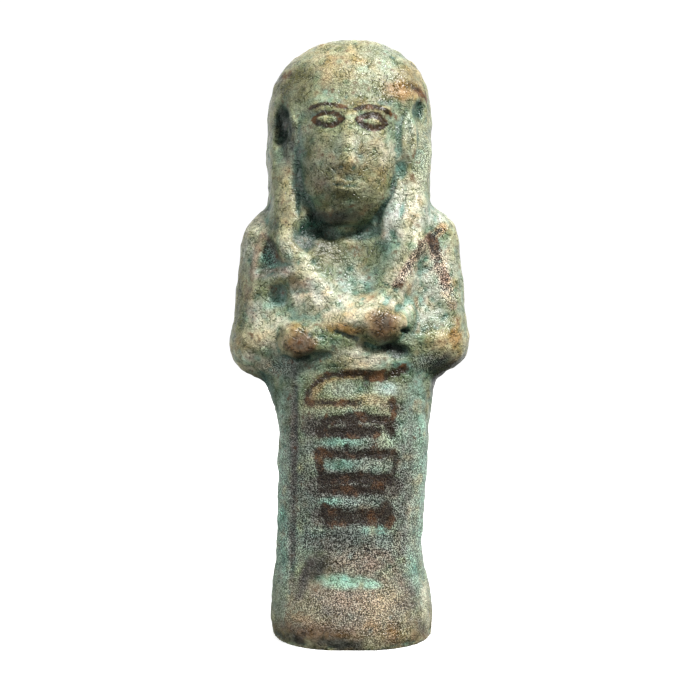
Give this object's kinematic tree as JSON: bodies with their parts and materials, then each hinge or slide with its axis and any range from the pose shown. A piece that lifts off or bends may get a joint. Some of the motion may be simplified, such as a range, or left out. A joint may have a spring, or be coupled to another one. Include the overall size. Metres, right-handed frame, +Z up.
{
  "type": "ushabti figurine",
  "caption": "Small mummy-form figurine of moulded blue-green faience in a long plain wig, forearms crossed over the chest, feet joined on a flat sole, standing upright",
  "frame": {"origin": "middle of the figure's width on the flat underside of its feet, below the body's own upright axis", "axes": "+Z up from the sole to the crown, the figure faces -Y, +X to the figure's left"},
  "size_m": [0.0368, 0.0228, 0.09],
  "materials": {
    "faience": "satin"
  },
  "bodies": {
    "root": {"ushabti": "faience"}
  },
  "joints": []
}
